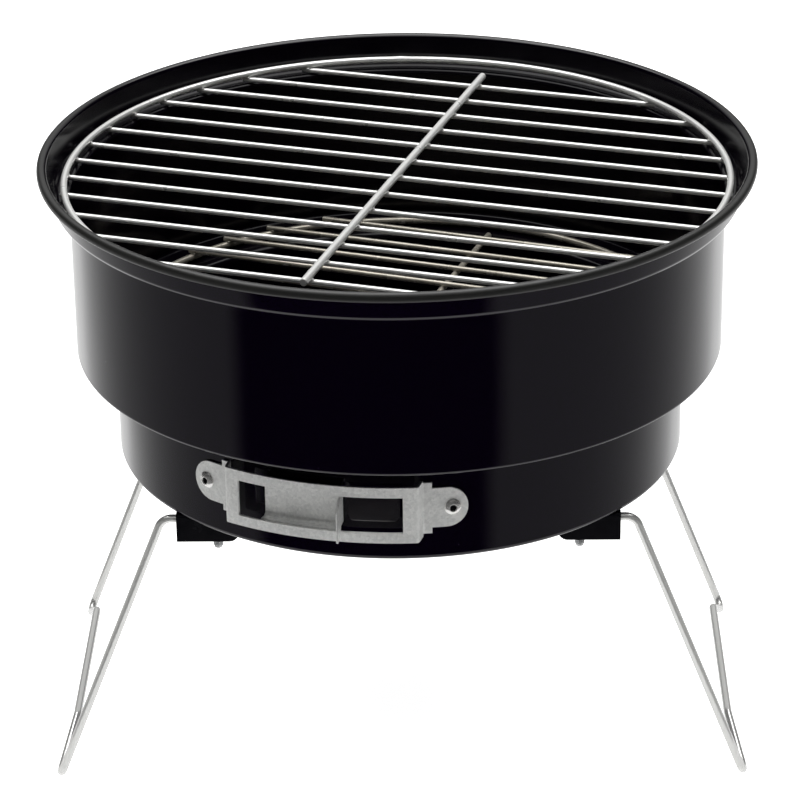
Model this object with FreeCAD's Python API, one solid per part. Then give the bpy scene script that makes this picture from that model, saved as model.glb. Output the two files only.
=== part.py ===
import FreeCAD, Part
import math
import os

# Portable tabletop grill: an enamelled steel bowl with a stepped wall, a loose
# wire cooking grid, a loose wire charcoal grate, an air vent with a sliding
# shutter on the lower drum, and two wire leg frames that fold under the floor.
# Millimetres. The origin is on the table under the bowl's centre, +Z is up, the
# vent is on the -Y side and one leg frame stands on each X side.

Vector = FreeCAD.Vector
UP = Vector(0, 0, 1)

# ---------------------------------------------------------------- bowl sizes
sheet = 0.8
drill_margin = 5.0
cutter_margin = 1.0
rim_height = 251.2
rim_radius = 147.5
bead_radius = 2.1
bead_end_angle = -130.0
lip_drop = 13.6
ledge_drop = 10.45
lip_foot_radius = 140.8
wall_radius = 134.8
wall_bottom_height = 171.2
shoulder_drop = 4.5
drum_radius = 118.6
floor_height = 126.0
lip_foot_bend = 3.4
ledge_bend = 1.6
wall_foot_bend = 1.6
shoulder_bend = 2.4
floor_bend = 2.1

# ---------------------------------------------------------------- wire grids
grid_angle = -17.2
grid_ring_radius = 136.7
grid_ring_wire = 2.8
grid_bar_wire = 2.2
grid_bar_count = 13
grid_bar_pitch = 18.7
grid_bar_reach = 138.2
grid_bar_height = rim_height - 9.6
grid_cross_offset = 0.9
grid_cross_half = 119.5
grid_cross_wire = 3.2

grate_angle = -19.0
grate_ring_radius = 125.0
grate_ring_wire = 3.0
grate_bar_wire = 2.3
grate_bar_count = 13
grate_bar_pitch = 17.7
grate_bar_shift = -2.8
grate_bar_reach = 126.8
grate_ring_height = rim_height - 79.9
grate_cross_offset = 1.9
grate_cross_half = 113.5
grate_cross_wire = 2.6
weld_sink = 0.15

# ---------------------------------------------------------------- air vent
vent_angle = -14.3
vent_height = 149.5
frame_sheet = 1.0
seat_gap = 0.1
frame_rise = 6.0
plate_half_angle = 18.2
plate_tall = 24.2
joggle_slant = 1.1
strip_half_angle = 21.1
strip_tall = 22.2
ear_round_angle = 23.9
ear_tall = 17.1
ear_spare_angle = 0.1
window_half_angle = 15.55
window_tall = 15.4
rivet_half_angle = 25.0
rivet_shank_radius = 2.0
fastener_gap = 0.1
bend_inside = 0.7

shutter_sheet = 0.8
shutter_radius = 119.5
shutter_left_angle = -25.6
shutter_right_angle = -9.9
shutter_flange_reach = 124.3
shutter_top = 159.0
shutter_bottom = 141.2

# The tab seen from its side: distance from the bowl's axis, height above the vent's middle.
tab_outline = [
    (126.1, -7.2),
    (126.1, -8.7),
    (130.7, -10.6),
    (131.5, -10.0),
    (131.5, 3.1),
    (130.3, 4.1),
    (126.1, 7.1),
]
air_hole_left_angle = -9.3
air_hole_right_angle = 0.7
air_hole_tall = 12.0
air_hole_corner = 2.5

# A set rivet: distance outwards from the seat of its head, and radius.
rivet_head_profile = [
    (0.0, 3.5),
    (0.5, 3.36),
    (1.08, 2.66),
    (1.42, 1.82),
    (1.5, 1.55),
    (1.3, 1.3),
]
# Its tail inside the drum: distance inwards from the sheet, and radius.
rivet_tail_profile = [
    (3.0, 1.8),
    (2.2, 2.6),
    (0.8, 2.8),
    (0.0, 2.5),
]
rivet_bore_depth = 0.6

# ---------------------------------------------------------------- folding legs
leg_wire = 3.4
leg_track = 74.8
pivot_x = 81.5
web_gap = 0.3
knee_x = 96.3
foot_x = 143.8
kink_y = 46.8
foot_slope = 32.0
pivot_bend = 4.0
knee_bend = 6.0
foot_bend = 4.5
kink_bend = 4.0
stub_end_y = 59.0

bracket_sheet = 1.0
bracket_outer_x = 90.3
bracket_inner_x = 64.9
bracket_front_y = 78.1
bracket_back_y = 63.0
bracket_drop = 12.1
bracket_corner = 4.0
bracket_outer_bend = 1.5
pivot_hole_gap = 0.08

screw_x = 74.0
screw_y = 69.5
screw_radius = 2.0
screw_tip_height = 107.0
screw_head_height = 2.4
# Its domed point: height above the tip, and radius.
screw_point_profile = [
    (0.0, 1.1),
    (0.4, 1.7),
    (1.0, screw_radius),
]
# Its pan head: depth below the head's top, and radius.
screw_head_profile = [
    (screw_head_height, 4.0),
    (1.1, 4.0),
    (0.35, 3.5),
    (0.0, 2.4),
]
screw_slot_width = 1.0
screw_slot_depth = 1.2
washer_radius = 5.0
washer_thick = 0.8
nut_flats = 7.0
nut_thick = 3.2

# Heights that follow from the sizes above.
web_bottom = floor_height - bracket_sheet
pivot_height = web_bottom - web_gap - leg_wire / 2
floor_top = floor_height + sheet


def polar(radius, degrees, height=0.0):
    """A point at an angle measured from the front (-Y), positive towards +X."""
    angle = math.radians(degrees)
    return Vector(radius * math.sin(angle), -radius * math.cos(angle), height)


def save(name, shape):
    """Write one sub-part, after checking that it is a sound solid."""
    if not shape.isValid() or shape.Volume <= 0:
        raise ValueError(name + " is not a valid solid")
    shape.exportStep("parts/" + name + ".step")
    print(name, "volume", round(shape.Volume, 2))


def line_edge(start, end):
    return Part.LineSegment(start, end).toShape()


def arc_edge(radius, left, right):
    """An arc about the bowl's axis, between two angles measured as in polar()."""
    middle = (left + right) / 2
    return Part.Arc(polar(radius, left), polar(radius, middle), polar(radius, right)).toShape()


def rounded_edges(points, bends):
    """Straight runs joined by tangent arcs; bends has one radius per inner point."""
    edges = []
    start = points[0]
    for corner, following, radius, before in zip(points[1:-1], points[2:], bends, points[:-2]):
        arriving = (corner - before).normalize()
        leaving = (following - corner).normalize()
        turn = arriving.getAngle(leaving)
        reach = radius * math.tan(turn / 2)
        first = corner - arriving * reach
        last = corner + leaving * reach
        inward = (leaving - arriving).normalize()
        centre = corner + inward * (radius / math.cos(turn / 2))
        edges.append(line_edge(start, first))
        edges.append(Part.Arc(first, centre - inward * radius, last).toShape())
        start = last
    edges.append(line_edge(start, points[-1]))
    return edges


def bent_wire(points, bends, diameter):
    """A round wire along straight runs and bends."""
    path = Part.Wire(rounded_edges(points, bends))
    along = (points[1] - points[0]).normalize()
    section = Part.Wire(Part.Circle(points[0], along, diameter / 2).toShape())
    return path.makePipeShell([section], True, False)


def straight_wire(start, end, diameter):
    along = end - start
    return Part.makeCylinder(diameter / 2, along.Length, start, along)


def ring(radius, height, diameter):
    return Part.makeTorus(radius, diameter / 2, Vector(0, 0, height))


def sector(inner, outer, left, right, bottom, top):
    """Part of an upright tube, between two angles measured as in polar()."""
    sweep = right - left
    tube = Part.makeCylinder(outer, top - bottom, Vector(0, 0, bottom), UP, sweep)
    bore = Part.makeCylinder(inner, top - bottom, Vector(0, 0, bottom), UP, sweep)
    piece = tube.cut(bore)
    piece.rotate(Vector(0, 0, 0), UP, left - 90.0)
    return piece


def radial_rod(degrees, height, radius, start, end):
    """A round bar that points outwards from the bowl's axis."""
    base = polar(start, degrees, height)
    return Part.makeCylinder(radius, end - start, base, polar(1.0, degrees))


def turned(profile, centre, axis):
    """Revolve a list of (distance along the axis, radius) points about the axis."""
    side = axis.cross(UP)
    if side.Length < 0.5:
        side = Vector(1, 0, 0)
    side.normalize()
    points = [centre + axis * along + side * radius for along, radius in profile]
    outline = Part.makePolygon(points + [points[0]])
    return Part.Face(outline).revolve(centre, axis, 360)


# ---------------------------------------------------------------- bowl
def shifted_path(corners, bends, shift):
    """Move a bent line sideways; the bends keep their centres."""
    points = []
    radii = []
    for index, corner in enumerate(corners):
        if index == 0:
            arriving = (corners[1] - corner).normalize()
        else:
            arriving = (corner - corners[index - 1]).normalize()
        if index == len(corners) - 1:
            leaving = arriving
        else:
            leaving = (corners[index + 1] - corner).normalize()
        left_in = Vector(-arriving.z, 0, arriving.x)
        left_out = Vector(-leaving.z, 0, leaving.x)
        both = left_in + left_out
        points.append(corner + both * (shift / (1 + left_in.dot(left_out))))
        if 0 < index < len(corners) - 1:
            turning = arriving.x * leaving.z - arriving.z * leaving.x
            radii.append(bends[index - 1] - shift * math.copysign(1, turning))
    return points, radii


def make_bowl():
    """One pressed sheet: curled rim, tapered lip, ledge, wall, shoulder, drum, floor."""
    half = sheet / 2
    curl = bead_radius - half
    bead_centre = Vector(rim_radius - bead_radius, 0, rim_height)
    wall = wall_radius - half
    drum = drum_radius - half
    shoulder_top = wall_bottom_height + half
    lip_foot = Vector(lip_foot_radius, 0, rim_height - lip_drop)
    # The lip leaves the curl along the curl's tangent.
    down = lip_foot - bead_centre
    start_angle = math.atan2(down.z, down.x) - math.acos(curl / down.Length)
    outward = Vector(math.cos(start_angle), 0, math.sin(start_angle))
    corners = [
        bead_centre + outward * curl,
        lip_foot,
        Vector(wall, 0, rim_height - ledge_drop),
        Vector(wall, 0, shoulder_top),
        Vector(drum, 0, shoulder_top - shoulder_drop),
        Vector(drum, 0, floor_height + half),
        Vector(0, 0, floor_height + half),
    ]
    bends = [lip_foot_bend, ledge_bend, wall_foot_bend, shoulder_bend, floor_bend]
    outer_points, outer_bends = shifted_path(corners, bends, half)
    inner_points, inner_bends = shifted_path(corners, bends, -half)
    outer_points[0] = bead_centre + outward * (curl - half)
    inner_points[0] = bead_centre + outward * (curl + half)
    outer_points[-1].x = 0.0
    inner_points[-1].x = 0.0
    start_degrees = math.degrees(start_angle) % 360.0

    def curl_point(radius, degrees):
        angle = math.radians(degrees)
        return bead_centre + Vector(math.cos(angle), 0, math.sin(angle)) * radius

    middle = (start_degrees + bead_end_angle) / 2
    small = curl - half
    big = curl + half
    edges = rounded_edges(outer_points, outer_bends)
    edges.append(line_edge(outer_points[-1], inner_points[-1]))
    edges += rounded_edges(inner_points, inner_bends)
    for radius in (small, big):
        begin = curl_point(radius, start_degrees)
        finish = curl_point(radius, bead_end_angle)
        edges.append(Part.Arc(begin, curl_point(radius, middle), finish).toShape())
    edges.append(line_edge(curl_point(small, bead_end_angle), curl_point(big, bead_end_angle)))
    outline = Part.Wire(Part.sortEdges(edges)[0])
    bowl = Part.Face(outline).revolve(Vector(0, 0, 0), UP, 360)

    for side in (-1, 1):
        angle = vent_angle + side * rivet_half_angle
        hole = rivet_shank_radius + fastener_gap
        bowl = bowl.cut(
            radial_rod(angle, vent_height, hole, drum_radius - drill_margin, drum_radius + drill_margin)
        )
    bowl = bowl.cut(air_hole())
    for x_side in (-1, 1):
        for y_side in (-1, 1):
            base = Vector(x_side * screw_x, y_side * screw_y, floor_height - drill_margin)
            bowl = bowl.cut(Part.makeCylinder(screw_radius + fastener_gap, 2 * drill_margin, base))
    return bowl


def air_hole():
    """The opening in the drum behind the vent window, with rounded corners."""
    middle = (air_hole_left_angle + air_hole_right_angle) / 2
    half_wide = drum_radius * math.sin(math.radians((air_hole_right_angle - air_hole_left_angle) / 2))
    block = Part.makeBox(2 * half_wide, 2 * drill_margin, air_hole_tall)
    block.translate(Vector(-half_wide, -drum_radius - drill_margin, vent_height - air_hole_tall / 2))
    corners = [edge for edge in block.Edges if abs(edge.tangentAt(edge.FirstParameter).y) > 0.9]
    block = block.makeFillet(air_hole_corner, corners)
    block.rotate(Vector(0, 0, 0), UP, middle)
    return block


# ---------------------------------------------------------------- wire grids
def grid_point(turn, along, across, height):
    """A point in a grid's own directions: along its bars and across them."""
    angle = math.radians(turn)
    x = along * math.cos(angle) - across * math.sin(angle)
    y = along * math.sin(angle) + across * math.cos(angle)
    return Vector(x, y, height)


def make_bars(name, turn, places, reach, height, diameter):
    """Parallel bars, each as long as the ring's chord where it lies."""
    for index, across in enumerate(places):
        half = math.sqrt(reach ** 2 - across ** 2)
        start = grid_point(turn, -half, across, height)
        end = grid_point(turn, half, across, height)
        save("%s_bar_%02d" % (name, index + 1), straight_wire(start, end, diameter))


def make_cooking_grid():
    touch = grid_bar_wire / 2 - weld_sink
    ring_height = grid_bar_height + touch + grid_ring_wire / 2
    cross_height = grid_bar_height + touch + grid_cross_wire / 2
    save("cooking_grid_ring", ring(grid_ring_radius, ring_height, grid_ring_wire))
    places = [(index - (grid_bar_count - 1) / 2) * grid_bar_pitch for index in range(grid_bar_count)]
    make_bars("cooking_grid", grid_angle, places, grid_bar_reach, grid_bar_height, grid_bar_wire)
    start = grid_point(grid_angle, grid_cross_offset, -grid_cross_half, cross_height)
    end = grid_point(grid_angle, grid_cross_offset, grid_cross_half, cross_height)
    save("cooking_grid_crossbar", straight_wire(start, end, grid_cross_wire))


def make_charcoal_grate():
    bar_height = grate_ring_height + grate_ring_wire / 2 + grate_bar_wire / 2 - weld_sink
    cross_height = bar_height - grate_bar_wire / 2 - grate_cross_wire / 2 + weld_sink
    save("charcoal_grate_ring", ring(grate_ring_radius, grate_ring_height, grate_ring_wire))
    first = grate_bar_shift - (grate_bar_count - 1) / 2 * grate_bar_pitch
    places = [first + index * grate_bar_pitch for index in range(grate_bar_count)]
    make_bars("charcoal_grate", grate_angle, places, grate_bar_reach, bar_height, grate_bar_wire)
    start = grid_point(grate_angle, grate_cross_offset, -grate_cross_half, cross_height)
    end = grid_point(grate_angle, grate_cross_offset, grate_cross_half, cross_height)
    save("charcoal_grate_crossbar", straight_wire(start, end, grate_cross_wire))


# ---------------------------------------------------------------- air vent
def make_vent_frame():
    """A bent strap: raised window plate, a joggle at each end, and two rounded ears."""
    seat = drum_radius + seat_gap
    seat_top = seat + frame_sheet
    plate = seat + frame_rise
    plate_top = plate + frame_sheet
    thick = math.degrees(frame_sheet / seat)
    foot_angle = plate_half_angle + joggle_slant
    end_angle = ear_round_angle + math.degrees(ear_tall / 2 / seat) + ear_spare_angle

    # The strap seen from above, at one height: ear, joggle, plate, joggle, ear.
    outer = [
        arc_edge(seat_top, -end_angle, -foot_angle),
        line_edge(polar(seat_top, -foot_angle), polar(plate_top, -plate_half_angle)),
        arc_edge(plate_top, -plate_half_angle, plate_half_angle),
        line_edge(polar(plate_top, plate_half_angle), polar(seat_top, foot_angle)),
        arc_edge(seat_top, foot_angle, end_angle),
    ]
    under_foot = foot_angle - thick
    under_plate = plate_half_angle - thick
    inner = [
        arc_edge(seat, -end_angle, -under_foot),
        line_edge(polar(seat, -under_foot), polar(plate, -under_plate)),
        arc_edge(plate, -under_plate, under_plate),
        line_edge(polar(plate, under_plate), polar(seat, under_foot)),
        arc_edge(seat, under_foot, end_angle),
    ]
    ends = [line_edge(polar(seat, side * end_angle), polar(seat_top, side * end_angle)) for side in (-1, 1)]
    outline = Part.Wire(Part.sortEdges(outer + inner + ends)[0])
    strap = Part.Face(outline).extrude(UP * plate_tall)
    strap.translate(UP * (vent_height - plate_tall / 2))

    # Round both faces of the four bends.
    tight = []
    wide = []
    for edge in strap.Edges:
        middle = edge.CenterOfMass
        if abs(edge.tangentAt(edge.FirstParameter).z) < 0.99:
            continue
        angle = abs(math.degrees(math.atan2(middle.x, -middle.y)))
        away = math.hypot(middle.x, middle.y)
        if angle > foot_angle + 1:
            continue
        if abs(away - plate_top) < 0.05 or abs(away - seat) < 0.05:
            wide.append(edge)
        else:
            tight.append(edge)
    strap = strap.makeFillet(bend_inside, tight)
    wide_again = []
    for edge in strap.Edges:
        for wanted in wide:
            if edge.CenterOfMass.isEqual(wanted.CenterOfMass, 0.01):
                wide_again.append(edge)
    strap = strap.makeFillet(bend_inside + frame_sheet, wide_again)

    # Trim the strap to its three widths, and round the ears.
    under = seat - cutter_margin
    over = plate_top + cutter_margin

    def band(half_angle, tall):
        low = vent_height - tall / 2
        return sector(under, over, -half_angle, half_angle, low, low + tall)

    stencil = band(foot_angle - thick / 2, plate_tall)
    stencil = stencil.fuse(band(strip_half_angle, strip_tall))
    stencil = stencil.fuse(band(ear_round_angle, ear_tall))
    for side in (-1, 1):
        stencil = stencil.fuse(radial_rod(side * ear_round_angle, vent_height, ear_tall / 2, under, over))
    frame = strap.common(stencil)
    low = vent_height - window_tall / 2
    window = sector(under, over, -window_half_angle, window_half_angle, low, low + window_tall)
    frame = frame.cut(window)
    for side in (-1, 1):
        hole = rivet_shank_radius + fastener_gap
        frame = frame.cut(radial_rod(side * rivet_half_angle, vent_height, hole, under, over))
    frame = frame.removeSplitter()
    frame.rotate(Vector(0, 0, 0), UP, vent_angle)
    return frame


def make_shutter():
    """A curved channel behind the window, with a thumb tab that reaches out through it."""
    inner = shutter_radius
    outer = shutter_radius + shutter_sheet
    left = shutter_left_angle
    right = shutter_right_angle
    low = shutter_bottom
    high = shutter_top
    shutter = sector(inner, outer, left, right, low, high)
    reach = shutter_flange_reach
    shutter = shutter.fuse(sector(inner, reach, left, right, low, low + shutter_sheet))
    shutter = shutter.fuse(sector(inner, reach, left, right, high - shutter_sheet, high))
    outline = [(inner, tab_outline[0][1])] + tab_outline + [(inner, tab_outline[-1][1])]
    points = [Vector(0, -away, vent_height + rise) for away, rise in outline]
    face = Part.Face(Part.makePolygon(points + [points[0]]))
    tab = face.extrude(Vector(-shutter_sheet, 0, 0))
    tab.rotate(Vector(0, 0, 0), UP, right)
    return shutter.fuse(tab).removeSplitter()


def make_rivet(degrees):
    """A set pop rivet: domed head with the mandrel hole, shank, and swollen tail."""
    head_seat = drum_radius + seat_gap + frame_sheet
    tail_seat = drum_radius - sheet
    tail = [(tail_seat - inwards, radius) for inwards, radius in rivet_tail_profile]
    head = [(head_seat + outwards, radius) for outwards, radius in rivet_head_profile]
    shank = [(tail_seat, rivet_shank_radius), (head_seat, rivet_shank_radius)]
    bore_radius = head[-1][1]
    bore_end = head_seat - rivet_bore_depth
    bore = [(bore_end, bore_radius), (bore_end, 0.0)]
    profile = [(tail[0][0], 0.0)] + tail + shank + head + bore
    return turned(profile, Vector(0, 0, vent_height), polar(1.0, degrees))


# ---------------------------------------------------------------- legs and brackets
def make_leg(side):
    """One wire frame; its two ends turn inwards into the bracket holes."""
    radius = leg_wire / 2
    splay = math.atan2(foot_x - knee_x, pivot_height - radius)
    run = (pivot_height - radius) / math.cos(splay)

    # The foot bar's sloping end turns past a right angle, so the corner point
    # of its path lies below the round foot that touches the table.
    slope = math.radians(foot_slope)
    drop = foot_bend * (math.tan((math.pi / 2 + slope) / 2) - 1)
    kink_run = run + drop - (leg_track - kink_y) * math.tan(slope)

    def on_plane(down, across):
        x = knee_x + down * math.sin(splay)
        z = pivot_height - down * math.cos(splay)
        return Vector(side * x, across, z)

    half = [
        Vector(side * pivot_x, -stub_end_y, pivot_height),
        Vector(side * pivot_x, -leg_track, pivot_height),
        Vector(side * knee_x, -leg_track, pivot_height),
        on_plane(run + drop, -leg_track),
        on_plane(kink_run, -kink_y),
    ]
    other_half = [Vector(point.x, -point.y, point.z) for point in reversed(half)]
    bends = [pivot_bend, knee_bend, foot_bend, kink_bend]
    return bent_wire(half + other_half, bends + bends[::-1], leg_wire)


def make_bracket(x_side, y_side):
    """A channel under the floor; the leg wire pivots in its inner flange."""
    length = bracket_outer_x - bracket_inner_x
    width = bracket_front_y - bracket_back_y
    bottom = floor_height - bracket_drop
    block = Part.makeBox(length, width, bracket_drop, Vector(bracket_inner_x, bracket_back_y, bottom))
    long_edges = []
    for edge in block.Edges:
        along_x = abs(edge.tangentAt(edge.FirstParameter).x) > 0.9
        if along_x and edge.CenterOfMass.z > floor_height - 0.01:
            long_edges.append(edge)
    block = block.makeFillet(bracket_outer_bend, long_edges)
    inner_width = width - 2 * bracket_sheet
    hollow = Part.makeBox(
        length + 2 * cutter_margin, inner_width, bracket_drop,
        Vector(bracket_inner_x - cutter_margin, bracket_back_y + bracket_sheet, bottom - bracket_sheet),
    )
    channel = block.cut(hollow)
    # Round the lower inner corner of both flanges.
    behind = bracket_back_y - cutter_margin
    through = width + 2 * cutter_margin
    trim = Part.makeBox(bracket_corner, through, bracket_corner, Vector(bracket_inner_x, behind, bottom))
    round_base = Vector(bracket_inner_x + bracket_corner, behind, bottom + bracket_corner)
    trim = trim.cut(Part.makeCylinder(bracket_corner, through, round_base, Vector(0, 1, 0)))
    channel = channel.cut(trim)
    drill_length = bracket_sheet + 2 * cutter_margin
    hole_base = Vector(pivot_x, behind, pivot_height)
    hole = Part.makeCylinder(leg_wire / 2 + pivot_hole_gap, drill_length, hole_base, Vector(0, 1, 0))
    channel = channel.cut(hole)
    screw_base = Vector(screw_x, screw_y, web_bottom - cutter_margin)
    channel = channel.cut(Part.makeCylinder(screw_radius + fastener_gap, drill_length, screw_base))
    # Turn the bracket to its own corner; the flange with the hole faces the middle.
    if x_side < 0:
        channel = channel.mirror(Vector(0, 0, 0), Vector(1, 0, 0))
    if y_side < 0:
        channel = channel.mirror(Vector(0, 0, 0), Vector(0, 1, 0))
    return channel


def make_screw(x, y):
    """A slotted pan-head screw, put in from inside the bowl."""
    seat = floor_top + washer_thick
    top = seat + screw_head_height
    point = [(screw_tip_height + up, radius) for up, radius in screw_point_profile]
    head = [(top - down, radius) for down, radius in screw_head_profile]
    profile = [(screw_tip_height, 0.0)] + point + [(seat, screw_radius)] + head + [(top, 0.0)]
    screw = turned(profile, Vector(x, y, 0), UP)
    slot_half = head[0][1] + cutter_margin
    slot = Part.makeBox(
        2 * slot_half, screw_slot_width, screw_slot_depth + cutter_margin,
        Vector(x - slot_half, y - screw_slot_width / 2, top - screw_slot_depth),
    )
    return screw.cut(slot)


def make_washer(x, y):
    disc = Part.makeCylinder(washer_radius, washer_thick, Vector(x, y, floor_top))
    hole = Part.makeCylinder(
        screw_radius + fastener_gap, washer_thick + 2 * cutter_margin, Vector(x, y, floor_top - cutter_margin)
    )
    return disc.cut(hole)


def make_nut(x, y):
    """A hexagon nut with two flats towards the leg pivot."""
    corner = nut_flats / math.sqrt(3)
    bottom = web_bottom - nut_thick
    points = []
    for index in range(7):
        angle = math.radians(30 + 60 * index)
        points.append(Vector(x + corner * math.cos(angle), y + corner * math.sin(angle), bottom))
    nut = Part.Face(Part.makePolygon(points)).extrude(UP * nut_thick)
    hole = Part.makeCylinder(
        screw_radius, nut_thick + 2 * cutter_margin, Vector(x, y, bottom - cutter_margin)
    )
    return nut.cut(hole)


# ---------------------------------------------------------------- all the pieces
os.makedirs("parts", exist_ok=True)
save("bowl", make_bowl())
make_cooking_grid()
make_charcoal_grate()
save("vent_frame", make_vent_frame())
save("vent_shutter", make_shutter())
save("vent_rivet_left", make_rivet(vent_angle - rivet_half_angle))
save("vent_rivet_right", make_rivet(vent_angle + rivet_half_angle))
save("leg_left", make_leg(-1))
save("leg_right", make_leg(1))
for y_name, y_side in (("front", -1), ("rear", 1)):
    for x_name, x_side in (("left", -1), ("right", 1)):
        save("leg_bracket_%s_%s" % (y_name, x_name), make_bracket(x_side, y_side))

screw_places = [(x * screw_x, y * screw_y) for x in (-1, 1) for y in (-1, 1)]
save("bracket_screws", Part.makeCompound([make_screw(x, y) for x, y in screw_places]))
save("bracket_washers", Part.makeCompound([make_washer(x, y) for x, y in screw_places]))
save("bracket_nuts", Part.makeCompound([make_nut(x, y) for x, y in screw_places]))
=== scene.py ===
import math

import bmesh
import bpy
from mathutils import Matrix, Vector


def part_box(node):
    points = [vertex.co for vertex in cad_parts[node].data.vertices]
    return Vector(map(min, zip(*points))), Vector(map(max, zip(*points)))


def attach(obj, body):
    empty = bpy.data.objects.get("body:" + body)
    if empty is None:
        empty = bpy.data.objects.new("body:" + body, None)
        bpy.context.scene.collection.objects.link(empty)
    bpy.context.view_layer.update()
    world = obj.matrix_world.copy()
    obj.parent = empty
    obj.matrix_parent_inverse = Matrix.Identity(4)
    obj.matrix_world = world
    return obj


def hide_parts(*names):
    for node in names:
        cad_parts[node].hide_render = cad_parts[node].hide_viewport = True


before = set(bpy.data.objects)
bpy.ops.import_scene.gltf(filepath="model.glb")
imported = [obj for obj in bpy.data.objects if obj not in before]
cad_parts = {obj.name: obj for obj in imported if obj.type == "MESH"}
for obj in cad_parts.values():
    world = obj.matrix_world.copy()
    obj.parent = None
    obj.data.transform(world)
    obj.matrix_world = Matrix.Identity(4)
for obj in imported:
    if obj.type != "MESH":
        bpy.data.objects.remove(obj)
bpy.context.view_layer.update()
scene = bpy.context.scene

# ------------------------------------------------------------------ studio
# A table-top studio: a glowing white floor and background, with a broad soft box overhead.
# The front is left dark, so that gloss black stays black and plated wire has an edge.
bowl_low, bowl_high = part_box("bowl")
rim_radius = bowl_high.x
rim_top = bowl_high.z
bead_radius = 0.0021
bead_height = rim_top - bead_radius

camera_data = bpy.data.cameras.new("camera")
camera_data.lens = 160.98
camera_data.sensor_width = 36.0
camera = bpy.data.objects.new("camera", camera_data)
aim_below_bead = 0.1107
view_turn = math.radians(1.0)
view_tip = math.radians(64.808)
view_roll = math.radians(-0.744)
view_distance = 1.51506
camera.matrix_world = (
    Matrix.Translation((0, 0, bead_height - aim_below_bead)) @ Matrix.Rotation(view_turn, 4, "Z")
    @ Matrix.Rotation(view_tip, 4, "X") @ Matrix.Rotation(view_roll, 4, "Z")
    @ Matrix.Translation((0, 0, view_distance)))
scene.collection.objects.link(camera)
scene.camera = camera
scene.view_settings.view_transform = "Standard"


class Value:
    """A number on its way through a node tree: arithmetic on it adds Math nodes."""

    def __init__(self, finish, socket):
        self.finish = finish
        self.socket = socket

    def maths(self, operation, first, second=0.0):
        return self.finish.node("ShaderNodeMath", {"operation": operation}, {0: first, 1: second})["Value"]

    def __add__(self, other):
        return self.maths("ADD", self, other)

    def __radd__(self, other):
        return self.maths("ADD", other, self)

    def __sub__(self, other):
        return self.maths("SUBTRACT", self, other)

    def __rsub__(self, other):
        return self.maths("SUBTRACT", other, self)

    def __mul__(self, other):
        return self.maths("MULTIPLY", self, other)

    def __rmul__(self, other):
        return self.maths("MULTIPLY", other, self)

    def __truediv__(self, other):
        return self.maths("DIVIDE", self, other)

    def __pow__(self, other):
        return self.maths("POWER", self, other)


class Outputs:
    """The outputs of one node, each as a Value."""

    def __init__(self, finish, node):
        self.finish = finish
        self.all = node.outputs

    def __getitem__(self, name):
        return Value(self.finish, self.all[name])


class Tree:
    """A node tree with one way to add a node to it."""

    def __init__(self, node_tree):
        self.tree = node_tree

    def node(self, kind, settings=None, inputs=None):
        made = self.tree.nodes.new(kind)
        for name, setting in (settings or {}).items():
            setattr(made, name, setting)
        self.feed(made, inputs or {})
        return Outputs(self, made)

    def feed(self, made, inputs):
        for name, value in inputs.items():
            if isinstance(value, Value):
                self.tree.links.new(value.socket, made.inputs[name])
            else:
                made.inputs[name].default_value = value


world = bpy.data.worlds.new("studio")
scene.world = world
world.use_nodes = True
sky = Tree(world.node_tree)
world.node_tree.nodes.clear()
direction = sky.node("ShaderNodeSeparateXYZ", None, {0: sky.node("ShaderNodeTexCoord")["Generated"]})
level_length = (direction["X"] ** 2.0 + direction["Y"] ** 2.0) ** 0.5
never_zero = 0.0001
flag_turn = math.radians(10.5)
away_from_flag = direction["X"] * math.sin(flag_turn) + direction["Y"] * math.cos(flag_turn)
past_flag = 0.5 + 0.5 * away_from_flag / (level_length + never_zero)
behind = 0.5 + 0.5 * direction["Y"] / (level_length + never_zero)


def fade(value, start, end):
    """Rises smoothly from 0 to 1 between two levels."""
    return sky.node("ShaderNodeMapRange", {"interpolation_type": "SMOOTHSTEP"}, {
        "Value": value, "From Min": start, "From Max": end})["Result"]


# The far floor, seen in the upright walls: dark in front, brighter towards the back.
rising = direction["Z"]
far_floor = fade(past_flag, 0.13, 0.19) * fade(rising, 0.05, -0.30) * (0.234 + 1.646 * behind ** 5.0)
far_floor = far_floor * (1.0 - 0.38 * fade(behind, 0.92, 0.99))
# The ceiling round the soft box, and the white back wall, seen in wires and in the bead.
ceiling = 0.75 * fade(rising, 0.68, 0.86)
back_wall = 0.60 * fade(rising, 0.12, 0.36) * fade(rising, 0.80, 0.60) * fade(behind, 0.80, 0.97)
glow = far_floor + ceiling + back_wall
seen_straight = sky.node("ShaderNodeLightPath")["Is Camera Ray"]
strength = seen_straight + (1.0 - seen_straight) * glow
background = sky.node("ShaderNodeBackground", None, {"Color": (1, 1, 1, 1), "Strength": strength})
sky.node("ShaderNodeOutputWorld", None, {"Surface": background["Background"]})


def soft_box(name, size, power, place, look_at):
    lamp = bpy.data.lights.new(name, "AREA")
    lamp.shape = "RECTANGLE"
    lamp.size, lamp.size_y = size
    lamp.energy = power
    holder = bpy.data.objects.new(name, lamp)
    facing = (Vector(look_at) - Vector(place)).to_track_quat("-Z", "Y").to_matrix().to_4x4()
    holder.matrix_world = Matrix.Translation(place) @ facing
    scene.collection.objects.link(holder)


soft_box("overhead_light", (1.6, 1.2), 20.0, (0.0, 0.35, 1.5), (0, 0, 0.1))


def floor_finish(name, level, glow):
    made = bpy.data.materials.new(name)
    made.use_nodes = True
    tree = Tree(made.node_tree)
    tree.feed(made.node_tree.nodes["Principled BSDF"], {
        "Base Color": (level, level, level, 1), "Roughness": 0.8, "Specular IOR Level": 0.1,
        "Emission Color": (1, 1, 1, 1), "Emission Strength": glow})
    return made


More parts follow.
